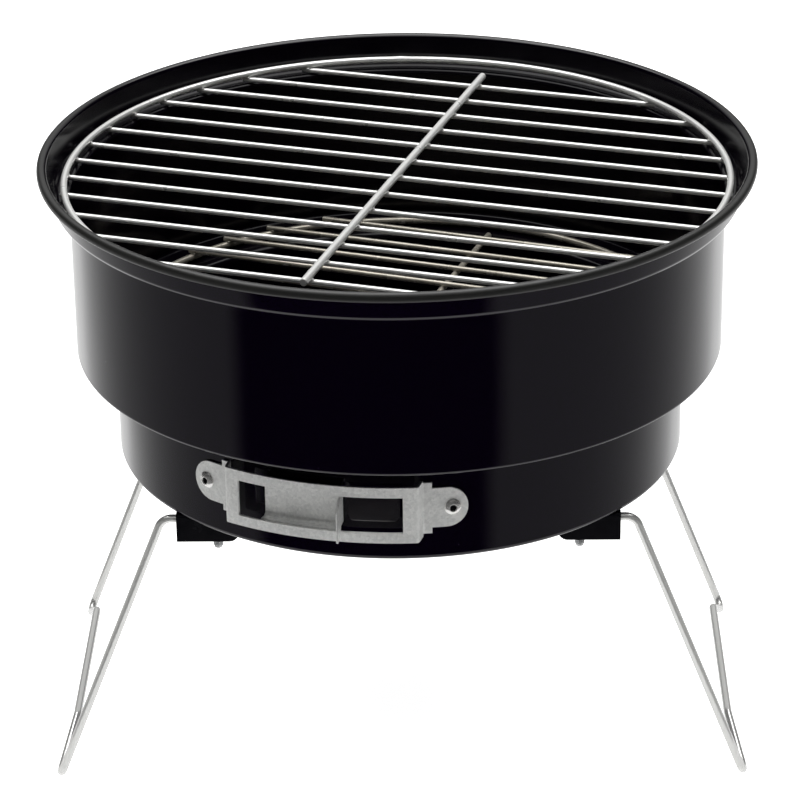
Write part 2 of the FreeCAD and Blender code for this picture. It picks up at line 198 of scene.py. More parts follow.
def floor_disc(name, radius, finish):
    disc = bmesh.new()
    bmesh.ops.create_circle(disc, cap_ends=True, segments=96, radius=radius)
    mesh = bpy.data.meshes.new(name)
    disc.to_mesh(mesh)
    disc.free()
    mesh.materials.append(finish)
    made = bpy.data.objects.new(name, mesh)
    scene.collection.objects.link(made)
    return made


floor = floor_disc("floor", 6.0, floor_finish("white_floor", 0.92, 0.92))
floor.visible_glossy = False
near_floor = floor_disc("near_floor", 0.26, floor_finish("floor_sheen", 0.20, 0.55))
near_floor.visible_camera = False
near_floor.visible_diffuse = False
near_floor.visible_shadow = False


# ------------------------------------------------------------------ bowl
# One steel sheet, spun and pressed to a stepped pot with a curled rim, then dipped in
# gloss black porcelain enamel. The air hole and the fixing holes are punched before.
def draw(bm, tip, corners, bends, steps=6):
    """Draws the tip along straight runs with a round bend at each inner corner."""
    place = corners[0]
    for before, corner, after, radius in zip(corners, corners[1:], corners[2:], bends):
        arriving = (corner - before).normalized()
        leaving = (after - corner).normalized()
        turn = arriving.angle(leaving)
        reach = radius * math.tan(turn / 2)
        first = corner - arriving * reach
        tip = run(bm, tip, first - place)
        inward = (leaving - arriving).normalized()
        centre = corner + inward * (radius / math.cos(turn / 2))
        tip = bmesh.ops.spin(bm, geom=tip, cent=centre, axis=arriving.cross(leaving), dvec=(0, 0, 0),
                             angle=turn, steps=steps, use_duplicate=False)["geom_last"]
        place = corner + leaving * reach
    return run(bm, tip, corners[-1] - place)


def run(bm, tip, step, parts=1):
    """Draws the tip straight, in equal parts."""
    return bmesh.ops.spin(bm, geom=tip, cent=(0, 0, 0), axis=(0, 0, 1), dvec=step / parts,
                          angle=0.0, steps=parts, use_duplicate=False)["geom_last"]


def turn_round(bm, steps, cent=(0, 0, 0), axis=(0, 0, 1)):
    """Spins everything in the mesh a full turn and closes it at the axis."""
    bmesh.ops.spin(bm, geom=bm.verts[:] + bm.edges[:], cent=cent, axis=axis, dvec=(0, 0, 0),
                   angle=2 * math.pi, steps=steps, use_merge=True, use_duplicate=False)
    bmesh.ops.remove_doubles(bm, verts=bm.verts, dist=1e-6)
    bmesh.ops.dissolve_degenerate(bm, dist=1e-7, edges=bm.edges)
    bmesh.ops.recalc_face_normals(bm, faces=bm.faces)


def made_piece(name, bm, finish):
    """The finished mesh of a piece, with its place in its mesh."""
    mesh = bpy.data.meshes.new(name)
    bm.to_mesh(mesh)
    bm.free()
    mesh.materials.append(finish)
    mesh.shade_smooth()
    piece = bpy.data.objects.new(name, mesh)
    scene.collection.objects.link(piece)
    return piece


def stands_for(piece, body, slot, *designed):
    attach(piece, body)
    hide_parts(*designed)


def settle(piece):
    """Applies the modifiers that a piece has so far."""
    graph = bpy.context.evaluated_depsgraph_get()
    finished = bpy.data.meshes.new_from_object(piece.evaluated_get(graph), depsgraph=graph)
    piece.modifiers.clear()
    piece.data = finished


def cut(piece, tool, operation="DIFFERENCE"):
    """Cuts a piece with a closed tool shape, which is then thrown away."""
    change = piece.modifiers.new("cut", "BOOLEAN")
    change.solver = "EXACT"
    change.operation = operation
    change.object = tool
    settle(piece)
    bpy.data.objects.remove(tool)


def thicken(piece, thickness):
    wall = piece.modifiers.new("wall", "SOLIDIFY")
    wall.thickness = thickness
    wall.offset = 0.0
    wall.use_even_offset = True
    settle(piece)


def ease_edges(piece, width, segments=2, edge_material=0, sharper_than=32.0):
    """Rounds the sharp edges a little, as tumbling, paint or plating does."""
    rounding = piece.modifiers.new("eased", "BEVEL")
    rounding.limit_method = "ANGLE"
    rounding.angle_limit = math.radians(sharper_than)
    rounding.width = width
    rounding.segments = segments
    rounding.material = edge_material
    rounding.use_clamp_overlap = True
    shading = piece.modifiers.new("shading", "WEIGHTED_NORMAL")
    shading.keep_sharp = True
    settle(piece)


def metal(name, colour, metallic, roughness, **fixed):
    """A material with its steady values set; returns it, its tree and its shader."""
    made = bpy.data.materials.new(name)
    made.use_nodes = True
    tree = Tree(made.node_tree)
    shader = made.node_tree.nodes["Principled BSDF"]
    tree.feed(shader, {"Base Color": (*colour, 1), "Metallic": metallic, "Roughness": roughness})
    tree.feed(shader, {name.replace("_", " "): value for name, value in fixed.items()})
    return made, tree, shader


sheet = 0.0008
lip_drop = 0.0136
ledge_drop = 0.01045
lip_foot_radius = 0.1408
wall_radius = 0.1348
wall_foot = 0.1712
shoulder_drop = 0.0045
drum_radius = 0.1186
floor_under = bowl_low.z
floor_top = floor_under + sheet
lip_foot_bend = 0.0034
ledge_bend = 0.0016
wall_foot_bend = 0.0016
shoulder_bend = 0.0024
floor_bend = 0.0021
curl_radius = bead_radius - sheet / 2
curl_centre = Vector((rim_radius - bead_radius, 0, bead_height))
curl_end = math.radians(-130)

enamel_black = (0.0016, 0.0005, 0.0036)
enamel, tree, shader = metal("black_enamel", enamel_black, 0.0, 0.05, IOR=1.5)
place = tree.node("ShaderNodeTexCoord")["Object"]
peel = tree.node("ShaderNodeTexNoise", None, {"Vector": place, "Scale": 420.0, "Detail": 2.0})["Fac"]
swell = tree.node("ShaderNodeTexNoise", None, {"Vector": place, "Scale": 38.0, "Detail": 1.0})["Fac"]
dust = tree.node("ShaderNodeTexVoronoi", None, {"Vector": place, "Scale": 95.0})["Distance"]
speck = tree.node("ShaderNodeMapRange", None, {
    "Value": dust, "From Min": 0.035, "From Max": 0.02})["Result"]
surface = tree.node("ShaderNodeBump", None, {
    "Height": swell * 3.0 + peel * 0.35 + speck * 0.6, "Strength": 0.5, "Distance": 0.00005})["Normal"]
wear = tree.node("ShaderNodeTexNoise", None, {"Vector": place, "Scale": 14.0, "Detail": 5.0})["Fac"]
where = tree.node("ShaderNodeSeparateXYZ", None, {0: place})
from_axis = (where["X"] ** 2.0 + where["Y"] ** 2.0) ** 0.5
# Painted sheen: on top of the bead the colour is lifted to grey, and the enamel is rougher there.
bead_top_sheen = tree.node("ShaderNodeMapRange", {"interpolation_type": "SMOOTHSTEP"}, {
    "Value": from_axis, "From Min": rim_radius - 2.0 * bead_radius,
    "From Max": rim_radius - bead_radius})["Result"]
bead_top_sheen = bead_top_sheen * tree.node("ShaderNodeMapRange", {"interpolation_type": "SMOOTHSTEP"}, {
    "Value": where["Z"], "From Min": bead_height - 2.0 * bead_radius, "From Max": bead_height})["Result"]
bead_sheen_colour = tree.node("ShaderNodeMix", {"data_type": "RGBA"}, {
    "Factor": bead_top_sheen, 6: (*enamel_black, 1), 7: (0.016, 0.016, 0.015, 1)})
tree.feed(shader, {
    "Base Color": Value(tree, bead_sheen_colour.all[2]), "Normal": surface,
    "Roughness": 0.03 + 0.05 * wear + 0.25 * speck + 0.34 * bead_top_sheen})

# Painted shade: inside the bowl the enamel is darker, with weaker and blurrier reflections than outside.
inside_shade, tree, shader = metal("inside_enamel_painted_shade", (0.0014, 0.0006, 0.0026), 0.0, 0.2, IOR=1.5,
                               Specular_IOR_Level=0.2)
place = tree.node("ShaderNodeTexCoord")["Object"]
film = tree.node("ShaderNodeTexNoise", None, {"Vector": place, "Scale": 45.0, "Detail": 5.0})["Fac"]
tree.feed(shader, {"Roughness": 0.08 + 0.22 * film})

bm = bmesh.new()
start = curl_centre + Vector((math.cos(curl_end), 0, math.sin(curl_end))) * curl_radius
lip_foot = Vector((lip_foot_radius, 0, bead_height - lip_drop))
down = lip_foot - curl_centre
leave = math.atan2(down.z, down.x) - math.acos(curl_radius / down.length) + 2 * math.pi
tip = bmesh.ops.spin(bm, geom=[bm.verts.new(start)], cent=curl_centre, axis=(0, -1, 0), dvec=(0, 0, 0),
                     angle=leave - curl_end, steps=22, use_duplicate=False)["geom_last"]
wall_middle = wall_radius - sheet / 2
drum_middle = drum_radius - sheet / 2
lip_top = curl_centre + Vector((math.cos(leave), 0, math.sin(leave))) * curl_radius
shoulder_top = wall_foot + sheet / 2
corners = [
    lip_top,
    lip_foot,
    Vector((wall_middle, 0, bead_height - ledge_drop)),
    Vector((wall_middle, 0, shoulder_top)),
    Vector((drum_middle, 0, shoulder_top - shoulder_drop)),
    Vector((drum_middle, 0, floor_under + sheet / 2)),
    Vector((0, 0, floor_under + sheet / 2)),
]
draw(bm, tip, corners, [lip_foot_bend, ledge_bend, wall_foot_bend, shoulder_bend, floor_bend], steps=7)
long_run = 0.012
long_edges = [edge for edge in bm.edges if edge.calc_length() > long_run]
bmesh.ops.subdivide_edges(bm, edges=long_edges, cuts=8)
turn_round(bm, 240)
ripple = 0.00003
for vert in bm.verts:
    away = math.hypot(vert.co.x, vert.co.y)
    if away > drum_middle - 0.001:
        angle = math.atan2(vert.co.y, vert.co.x)
        push = ripple * (math.sin(7 * angle + 0.4) + math.sin(12 * angle + 2.1))
        vert.co.x += push * math.cos(angle)
        vert.co.y += push * math.sin(angle)
bowl = made_piece("bowl_shell", bm, enamel)
thicken(bowl, sheet)
bowl.data.materials.append(inside_shade)
inside_shade_below = bead_height - 0.004
# Faces inside the bowl that face upwards or inwards, below the bead, take the painted-shade enamel.
for face in bowl.data.polygons:
    inwards = -(face.center.xy.normalized().dot(face.normal.xy))
    face.material_index = int(face.center.z < inside_shade_below and max(face.normal.z, inwards) > 0.5)

# The punched openings: air hole, two rivet holes in the drum, four screw holes in the floor.
vent_angle = math.radians(-14.3)
vent_height = 0.1495
rivet_spread = math.radians(25.0)
air_hole_angle = math.radians(-4.3)
air_hole_wide = 0.0207
air_hole_tall = 0.012
air_hole_corner = 0.0025
punch_reach = 0.012
hole_radius = 0.0021
screw_x = 0.074
screw_y = 0.0695


def drum_frame(angle, radius, height):
    """A place on the drum: +Y points inwards there and +Z is up."""
    return Matrix.Rotation(angle, 4, "Z") @ Matrix.Translation((0, -radius, height))


punch = bmesh.new()
flat_on = Matrix.Rotation(math.pi / 2, 4, "X")
at_air_hole = drum_frame(air_hole_angle, drum_radius, vent_height)
bmesh.ops.create_cube(punch, size=1.0,
                      matrix=at_air_hole @ Matrix.Diagonal((air_hole_wide, punch_reach, air_hole_tall, 1)))
inwards = at_air_hole.to_3x3() @ Vector((0, 1, 0))
deep_edges = [edge for edge in punch.edges
              if abs((edge.verts[1].co - edge.verts[0].co).normalized().dot(inwards)) > 0.9]
bmesh.ops.bevel(punch, geom=deep_edges, offset=air_hole_corner, offset_type="OFFSET", segments=6,
                profile=0.5, affect="EDGES", material=-1)
for side in (-1, 1):
    bmesh.ops.create_cone(
        punch, cap_ends=True, segments=32, radius1=hole_radius, radius2=hole_radius, depth=punch_reach,
        matrix=drum_frame(vent_angle + side * rivet_spread, drum_radius, vent_height) @ flat_on)
    for row in (-1, 1):
        bmesh.ops.create_cone(
            punch, cap_ends=True, segments=32, radius1=hole_radius, radius2=hole_radius,
            depth=punch_reach / 2,
            matrix=Matrix.Translation((side * screw_x, row * screw_y, floor_under)))
cut(bowl, made_piece("punch", punch, enamel))
ease_edges(bowl, 0.00022, segments=3)
stands_for(bowl, "bowl", "black_enamel", "bowl")

# ------------------------------------------------------------------ air vent frame
# A galvanised strap, blanked with its window, bent to stand clear of the drum and held
# by a rivet through each rounded ear. The shutter slides behind the window.
strap = 0.0010
seat_gap = 0.0001
seat = drum_radius + seat_gap + strap / 2
plate = seat + 0.0060
plate_half = math.radians(18.2)
joggle = math.radians(1.1)
strip_half = math.radians(21.1)
ear_half = math.radians(23.9)
window_half = math.radians(15.55)
plate_tall = 0.0242
strip_tall = 0.0222
ear_tall = 0.0171
window_tall = 0.0154
fold = 0.0012
fold_room = math.radians(1.0)

galvanised, tree, shader = metal("galvanised_sheet", (0.70, 0.71, 0.69), 0.52, 0.42)
place = tree.node("ShaderNodeTexCoord")["Object"]
spangle = tree.node("ShaderNodeTexVoronoi", {"feature": "F1"}, {"Vector": place, "Scale": 900.0})["Color"]
facet = tree.node("ShaderNodeSeparateColor", None, {"Color": spangle})["Red"]
grain = tree.node("ShaderNodeTexNoise", None, {"Vector": place, "Scale": 1500.0, "Detail": 4.0})["Fac"]
cloud = tree.node("ShaderNodeTexNoise", None, {"Vector": place, "Scale": 90.0, "Detail": 5.0})["Fac"]
smear = tree.node("ShaderNodeMapping", None, {"Vector": place, "Scale": (60.0, 60.0, 1400.0)})["Vector"]
scuff = tree.node("ShaderNodeTexNoise", None, {"Vector": smear, "Scale": 1.0, "Detail": 3.0})["Fac"]
tone = 0.30 * facet + 0.40 * grain + 0.45 * cloud
zinc_colour = tree.node("ShaderNodeMix", {"data_type": "RGBA"}, {
    "Factor": tone, 6: (0.54, 0.55, 0.54, 1), 7: (1.0, 1.0, 0.98, 1)})
galvanised_bump = tree.node("ShaderNodeBump", None, {
    "Height": facet * 0.5 + grain * 0.8 + scuff * 0.7, "Strength": 0.6, "Distance": 0.00004})["Normal"]
tree.feed(shader, {
    "Base Color": Value(tree, zinc_colour.all[2]), "Roughness": 0.34 + 0.22 * cloud + 0.1 * facet,
    "Normal": galvanised_bump})

sheared, tree, shader = metal("sheared_edge", (0.80, 0.80, 0.79), 1.0, 0.28)
place = tree.node("ShaderNodeTexCoord")["Object"]
burr = tree.node("ShaderNodeTexNoise", None, {"Vector": place, "Scale": 2200.0, "Detail": 2.0})["Fac"]
tree.feed(shader, {"Roughness": 0.2 + 0.25 * burr})


def on_drum(radius, angle, height=0.0):
    """A point at an angle from the front, positive to the right."""
    return Vector((radius * math.sin(angle), -radius * math.cos(angle), height))


bm = bmesh.new()
ear_reach = ear_half + ear_tall / 2 / seat
foot = plate_half + joggle
tip = [bm.verts.new(on_drum(seat, vent_angle - ear_reach, vent_height - plate_tall / 2))]


def follow_drum(bm, tip, angle, steps):
    return bmesh.ops.spin(bm, geom=tip, cent=(0, 0, 0), axis=(0, 0, 1), dvec=(0, 0, 0), angle=angle,
                          steps=steps, use_duplicate=False)["geom_last"]


def joggle_points(side):
    """The corner points of one joggle, from the ear side to the plate side."""
    low = vent_height - plate_tall / 2
    return [
        on_drum(seat, vent_angle + side * (foot + fold_room), low),
        on_drum(seat, vent_angle + side * foot, low),
        on_drum(plate, vent_angle + side * plate_half, low),
        on_drum(plate, vent_angle + side * (plate_half - fold_room), low),
    ]


tip = follow_drum(bm, tip, ear_reach - foot - fold_room, 8)
tip = draw(bm, tip, joggle_points(-1), [fold, fold], steps=6)
tip = follow_drum(bm, tip, 2 * (plate_half - fold_room), 30)
tip = draw(bm, tip, joggle_points(1)[::-1], [fold, fold], steps=6)
tip = follow_drum(bm, tip, ear_reach - foot - fold_room, 8)
run(bm, bm.verts[:] + bm.edges[:], Vector((0, 0, plate_tall)))
bmesh.ops.recalc_face_normals(bm, faces=bm.faces)


def slit(bm, place, normal, **clear):
    bmesh.ops.bisect_plane(bm, geom=bm.verts[:] + bm.edges[:] + bm.faces[:], plane_co=place,
                           plane_no=normal, dist=1e-7, **clear)


for tall in (strip_tall, ear_tall, window_tall):
    for side in (-1, 1):
        slit(bm, (0, 0, vent_height + side * tall / 2), (0, 0, 1))
for half in (window_half, strip_half):
    for side in (-1, 1):
        across = on_drum(1, vent_angle + side * half + math.pi / 2)
        slit(bm, (0, 0, 0), across)
waste = []
for face in bm.faces:
    middle = face.calc_center_median()
    away = abs(math.atan2(middle.x, -middle.y) - vent_angle)
    off = abs(middle.z - vent_height)
    tall = plate_tall if away < foot - joggle / 4 else strip_tall if away < strip_half else ear_tall
    if off > tall / 2 or (away < window_half and off < window_tall / 2):
        waste.append(face)
bmesh.ops.delete(bm, geom=waste, context="FACES")
round_steps = 14
for side in (-1, 1):
    centre = on_drum(seat, vent_angle + side * ear_half, vent_height)
    along = on_drum(1, vent_angle + side * ear_half + side * math.pi / 2)
    for step in range(round_steps):
        tilt = math.pi * ((step + 0.5) / round_steps - 0.5)
        outward = along * math.cos(tilt) + Vector((0, 0, 1)) * math.sin(tilt)
        ear = [face for face in bm.faces if (face.calc_center_median() - centre).dot(along) > -0.004]
        ear_parts = {part for face in ear for part in [face, *face.edges, *face.verts]}
        bmesh.ops.bisect_plane(bm, geom=list(ear_parts), plane_co=centre + outward * ear_tall / 2,
                               plane_no=outward, dist=1e-7, clear_outer=True)
bmesh.ops.remove_doubles(bm, verts=bm.verts, dist=1e-6)
vent = made_piece("vent_strap", bm, galvanised)
vent.data.materials.append(sheared)
thicken(vent, strap)
drill = bmesh.new()
for side in (-1, 1):
    bmesh.ops.create_cone(
        drill, cap_ends=True, segments=32, radius1=hole_radius, radius2=hole_radius, depth=punch_reach,
        matrix=drum_frame(vent_angle + side * rivet_spread, seat, vent_height) @ flat_on)
cut(vent, made_piece("drill", drill, galvanised))
ease_edges(vent, 0.00013, segments=2, edge_material=1)
stands_for(vent, "bowl", "galvanised_sheet", "vent_frame")

# ------------------------------------------------------------------ vent shutter
# A galvanised channel that lies on the drum behind the window. Its flanges slide inside
# the strap, and its right end is folded out as a thumb tab.
slide = 0.0008
web = 0.1195 + slide / 2
flange_reach = 0.1243
shutter_left = math.radians(-25.6)
shutter_right = math.radians(-9.9)
shutter_low = 0.1412 + slide / 2
shutter_high = 0.1590 - slide / 2
tab_fold = 0.0008
foot_fold = 0.0022
window_clear = 0.0006
tab_low = shutter_low + foot_fold
tab_high = vent_height + window_tall / 2 - window_clear
# The tab outwards from its fold: distance from the axis, and how far its lower and its upper
# edge move up since the last.
tab_steps = [
    (0.1252, 0.0, 0.0),
    (0.1264, -0.0028, 0.0),
    (0.1307, -0.0020, -0.0030),
    (0.1315, 0.0006, -0.0010),
]

bm = bmesh.new()
corners = [
    on_drum(flange_reach, shutter_left, shutter_high),
    on_drum(web, shutter_left, shutter_high),
    on_drum(web, shutter_left, shutter_low),
    on_drum(flange_reach, shutter_left, shutter_low),
]
draw(bm, [bm.verts.new(corners[0])], corners, [tab_fold, foot_fold], steps=7)
slit(bm, (0, 0, tab_high), (0, 0, 1))
web_sweep = shutter_right - shutter_left - (tab_fold + slide / 2) / web
end = follow_drum(bm, bm.verts[:] + bm.edges[:], web_sweep, 14)
tab_edges = []
for part in end:
    if isinstance(part, bmesh.types.BMEdge):
        middle = (part.verts[0].co + part.verts[1].co) / 2
        if tab_low - 1e-5 < middle.z < tab_high + 1e-5 and math.hypot(middle.x, middle.y) < web + 1e-4:
            tab_edges.append(part)
tab_angle = shutter_left + web_sweep
outward = on_drum(1, tab_angle)
fold_centre = on_drum(web, tab_angle) + outward * tab_fold
tip = tab_edges + list({vert for edge in tab_edges for vert in edge.verts})
tip = bmesh.ops.spin(bm, geom=tip, cent=fold_centre, axis=(0, 0, -1), dvec=(0, 0, 0), angle=math.pi / 2,
                     steps=5, use_duplicate=False)["geom_last"]
reached = web + tab_fold
for reach, lower, upper in tab_steps:
    tip = run(bm, tip, outward * (reach - reached))
    reached = reach
    verts = [part for part in tip if isinstance(part, bmesh.types.BMVert)]
    low_edge = min(vert.co.z for vert in verts)
    for vert in verts:
        vert.co.z += lower if vert.co.z < low_edge + 1e-5 else upper
bmesh.ops.recalc_face_normals(bm, faces=bm.faces)
shutter = made_piece("vent_slide", bm, galvanised)
shutter.data.materials.append(sheared)
thicken(shutter, slide)
ease_edges(shutter, 0.00012, segments=2, edge_material=1)
stands_for(shutter, "vent_shutter", "galvanised_sheet", "vent_shutter")

# ------------------------------------------------------------------ vent rivets
# Two steel pop rivets. The domed head sits on the ear, the hole of the broken mandrel is
# coloured near black as painted shade, and the tail is pulled up into a bulb inside the drum.
head_radius = 0.0035
head_rise = 0.0015
shank_radius = 0.0020
mandrel_radius = 0.0013
tail_radius = 0.0028
tail_length = 0.0030

rivet_steel, tree, shader = metal("rivet_steel", (0.92, 0.91, 0.89), 0.76, 0.12)
place = tree.node("ShaderNodeTexCoord")["Object"]
rub = tree.node("ShaderNodeTexNoise", None, {"Vector": place, "Scale": 900.0, "Detail": 3.0})["Fac"]
rivet_bump = tree.node("ShaderNodeBump", None, {
    "Height": rub, "Strength": 0.4, "Distance": 0.00002})["Normal"]
tree.feed(shader, {"Roughness": 0.12 + 0.14 * rub, "Normal": rivet_bump})

# Painted shade: a near-black finish for the walls and floor of the mandrel hole.
hole_shade_finish, tree, shader = metal("rivet_hole_painted_shade", (0.05, 0.05, 0.055), 0.6, 0.6)
place = tree.node("ShaderNodeTexCoord")["Object"]
torn = tree.node("ShaderNodeTexNoise", None, {"Vector": place, "Scale": 2600.0, "Detail": 3.0})["Fac"]
tree.feed(shader, {"Roughness": 0.45 + 0.3 * torn})

for side, side_name in ((-1, "left"), (1, "right")):
    bm = bmesh.new()
    corners = [
        Vector((mandrel_radius, 0, -0.0006)),
        Vector((mandrel_radius, 0, head_rise * 1.11)),
        Vector((head_radius * 0.786, 0, head_rise * 0.73)),
        Vector((head_radius, 0, head_rise * 0.16)),
        Vector((head_radius, 0, 0)),
        Vector((shank_radius, 0, 0)),
    ]
    tip = draw(bm, [bm.verts.new(corners[0])], corners, [0.00035, 0.0038, 0.0004, 0.00005], steps=8)
    sheets = strap + seat_gap + sheet
    tail = [
        Vector((shank_radius, 0, 0)),
        Vector((shank_radius, 0, -sheets)),
        Vector((tail_radius, 0, -sheets - 0.0001)),
        Vector((tail_radius, 0, -sheets - 0.0014)),
        Vector((0.0019, 0, -sheets - tail_length)),
        Vector((0.0, 0, -sheets - tail_length)),
    ]
    draw(bm, tip, tail, [0.00005, 0.0003, 0.0008, 0.0003], steps=4)
    low_rim = min((vert for vert in bm.verts if vert.co.x < mandrel_radius + 1e-5 and vert.co.z > -0.001),
                  key=lambda vert: vert.co.z)
    run(bm, [low_rim], Vector((-mandrel_radius, 0, -0.0002)), parts=2)
    turn_round(bm, 64)
    # The faces inside the mandrel hole take the painted-shade finish.
    for face in bm.faces:
        middle = face.calc_center_median()
        face.material_index = int(math.hypot(middle.x, middle.y) < mandrel_radius and middle.z > -0.001)
    on_ear = drum_frame(vent_angle + side * rivet_spread, seat + strap / 2, vent_height) @ flat_on
    bmesh.ops.transform(bm, matrix=on_ear, verts=bm.verts)
    rivet = made_piece("pop_rivet_" + side_name, bm, rivet_steel)
    rivet.data.materials.append(hole_shade_finish)
    ease_edges(rivet, 0.00006)
    stands_for(rivet, "bowl", "rivet_steel", "vent_rivet_" + side_name)

# ------------------------------------------------------------------ leg brackets
# Four black painted steel channels under the floor, each held by one screw. The leg wire
# turns in the hole of the flange that faces the middle.
channel = 0.0010
bracket_fold = 0.0010
leg_wire = 0.0034
pivot_x = 0.0815
pivot_height = floor_under - channel - 0.0003 - leg_wire / 2

paint, tree, shader = metal("black_paint", (0.003, 0.003, 0.004), 0.0, 0.22, IOR=1.45,
                            Specular_IOR_Level=0.15)
place = tree.node("ShaderNodeTexCoord")["Object"]
stipple = tree.node("ShaderNodeTexNoise", None, {"Vector": place, "Scale": 1300.0, "Detail": 3.0})["Fac"]
thin = tree.node("ShaderNodeTexNoise", None, {"Vector": place, "Scale": 160.0, "Detail": 4.0})["Fac"]
paint_bump = tree.node("ShaderNodeBump", None, {
    "Height": stipple, "Strength": 0.5, "Distance": 0.00004})["Normal"]
paint_colour = tree.node("ShaderNodeMix", {"data_type": "RGBA"}, {
    "Factor": thin, 6: (0.002, 0.002, 0.003, 1), 7: (0.006, 0.006, 0.008, 1)})
tree.feed(shader, {
    "Base Color": Value(tree, paint_colour.all[2]), "Roughness": 0.16 + 0.18 * thin, "Normal": paint_bump})

for row, row_name in ((-1, "front"), (1, "rear")):
    for side, side_name in ((-1, "left"), (1, "right")):
        designed = "leg_bracket_%s_%s" % (row_name, side_name)
        low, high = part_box(designed)
        inner_x, outer_x = sorted((low.x, high.x), key=abs)
        inner_y, outer_y = sorted((low.y, high.y), key=abs)
        half = Vector((0, row * channel / 2, 0))
        top = high.z - channel / 2
        bm = bmesh.new()
        corners = [
            Vector((inner_x, outer_y, low.z)) - half,
            Vector((inner_x, outer_y, top)) - half,
            Vector((inner_x, inner_y, top)) + half,
            Vector((inner_x, inner_y, low.z)) + half,
        ]
        draw(bm, [bm.verts.new(corners[0])], corners, [bracket_fold, bracket_fold], steps=6)
        run(bm, bm.verts[:] + bm.edges[:], Vector((outer_x - inner_x, 0, 0)))
        toes = [vert for vert in bm.verts
                if vert.co.z < low.z + 1e-5 and abs(vert.co.x - inner_x) < 1e-5]
        bmesh.ops.bevel(bm, geom=toes, offset=0.004, offset_type="OFFSET", segments=8, profile=0.5,
                        affect="VERTICES", material=-1)
        bmesh.ops.recalc_face_normals(bm, faces=bm.faces)
        bracket = made_piece("channel_%s_%s" % (row_name, side_name), bm, paint)
        thicken(bracket, channel)
        drill = bmesh.new()
        bmesh.ops.create_cone(
            drill, cap_ends=True, segments=36, radius1=leg_wire / 2 + 0.00008, radius2=leg_wire / 2 + 0.00008,
            depth=0.004, matrix=Matrix.Translation((side * pivot_x, inner_y, pivot_height)) @ flat_on)
        bmesh.ops.create_cone(
            drill, cap_ends=True, segments=36, radius1=hole_radius, radius2=hole_radius, depth=0.004,
            matrix=Matrix.Translation((side * screw_x, row * screw_y, top)))
        cut(bracket, made_piece("drill", drill, paint))
        ease_edges(bracket, 0.00016, segments=2)
        stands_for(bracket, "bowl", "black_steel", designed)

# ------------------------------------------------------------------ bracket fasteners
# One slotted M4 screw, washer and nut for each bracket, all bright zinc plated. The screw
# goes in from inside the bowl, and its domed tip shows below the bracket.
thread_pitch = 0.0007
screw_radius = 0.0020
root_radius = 0.0017
tip_height = 0.1070
screw_head = 0.0040
screw_head_tall = 0.0024
washer_radius = 0.0050
washer_thick = 0.0008
nut_flats = 0.0070
nut_thick = 0.0032

zinc, tree, shader = metal("bright_zinc", (0.72, 0.73, 0.74), 0.7, 0.2)
place = tree.node("ShaderNodeTexCoord")["Object"]
bloom = tree.node("ShaderNodeTexNoise", None, {"Vector": place, "Scale": 700.0, "Detail": 4.0})["Fac"]
passivate = tree.node("ShaderNodeMix", {"data_type": "RGBA"}, {
    "Factor": bloom, 6: (0.62, 0.65, 0.70, 1), 7: (0.80, 0.79, 0.74, 1)})
tree.feed(shader, {"Base Color": Value(tree, passivate.all[2]), "Roughness": 0.14 + 0.2 * bloom})

screw_places = [(x * screw_x, y * screw_y) for x in (-1, 1) for y in (-1, 1)]


def set_of_four(name, model, designed, eased):
    """Copies one fastener to the four brackets, as one piece."""
    whole = bmesh.new()
    for x, y in screw_places:
        model.data.transform(Matrix.Translation((x, y, 0)))
        whole.from_mesh(model.data)
        model.data.transform(Matrix.Translation((-x, -y, 0)))
    bpy.data.objects.remove(model)
    piece = made_piece(name, whole, zinc)
    ease_edges(piece, eased)
    stands_for(piece, "bowl", "zinc_steel", designed)


def plain_cone(bm, radius, low, high, segments=32):
    return bmesh.ops.create_cone(bm, cap_ends=True, segments=segments, radius1=radius, radius2=radius,
                                 depth=high - low, matrix=Matrix.Translation((0, 0, (low + high) / 2)))


head_seat = floor_top + washer_thick
head_top = head_seat + screw_head_tall
bm = bmesh.new()
corners = [
    Vector((0, 0, tip_height)),
    Vector((root_radius, 0, tip_height)),
    Vector((root_radius, 0, head_seat)),
    Vector((screw_head, 0, head_seat)),
    Vector((screw_head, 0, head_top)),
    Vector((0, 0, head_top)),
]
draw(bm, [bm.verts.new(corners[0])], corners, [0.0009, 0.0001, 0.0003, 0.0012], steps=6)
turn_round(bm, 32)
screw = made_piece("screw", bm, zinc)
slot = bmesh.new()
bmesh.ops.create_cube(slot, size=1.0, matrix=Matrix.Translation((0, 0, head_top))
                      @ Matrix.Diagonal((0.012, 0.0010, 0.0024, 1)))
cut(screw, made_piece("slot", slot, zinc))
bm = bmesh.new()
bm.from_mesh(screw.data)
thread_low = tip_height + 0.0009
turns = int((floor_under - thread_low) / thread_pitch)
flank = thread_pitch * 0.44
root = root_radius - 0.00005
ridge = [bm.verts.new((root, 0, thread_low)), bm.verts.new((screw_radius, 0, thread_low + flank)),
         bm.verts.new((root, 0, thread_low + 2 * flank))]
ridge_edges = [bm.edges.new(ridge[:2]), bm.edges.new(ridge[1:])]
steps_per_turn = 20
bmesh.ops.spin(bm, geom=ridge + ridge_edges, cent=(0, 0, 0), axis=(0, 0, 1),
               dvec=(0, 0, thread_pitch / steps_per_turn), angle=2 * math.pi * turns,
               steps=turns * steps_per_turn, use_duplicate=False)
bmesh.ops.recalc_face_normals(bm, faces=bm.faces)
bm.to_mesh(screw.data)
bm.free()
set_of_four("slotted_screws", screw, "bracket_screws", 0.00007)

bm = bmesh.new()
corners = [
    Vector((hole_radius, 0, floor_top)),
    Vector((washer_radius, 0, floor_top)),
    Vector((washer_radius, 0, head_seat)),
    Vector((hole_radius, 0, head_seat)),
]
tip = draw(bm, [bm.verts.new(corners[0])], corners, [0.0001, 0.0003], steps=4)
run(bm, tip, Vector((0, 0, -washer_thick)))
turn_round(bm, 40)
set_of_four("flat_washers", made_piece("washer", bm, zinc), "bracket_washers", 0.00005)

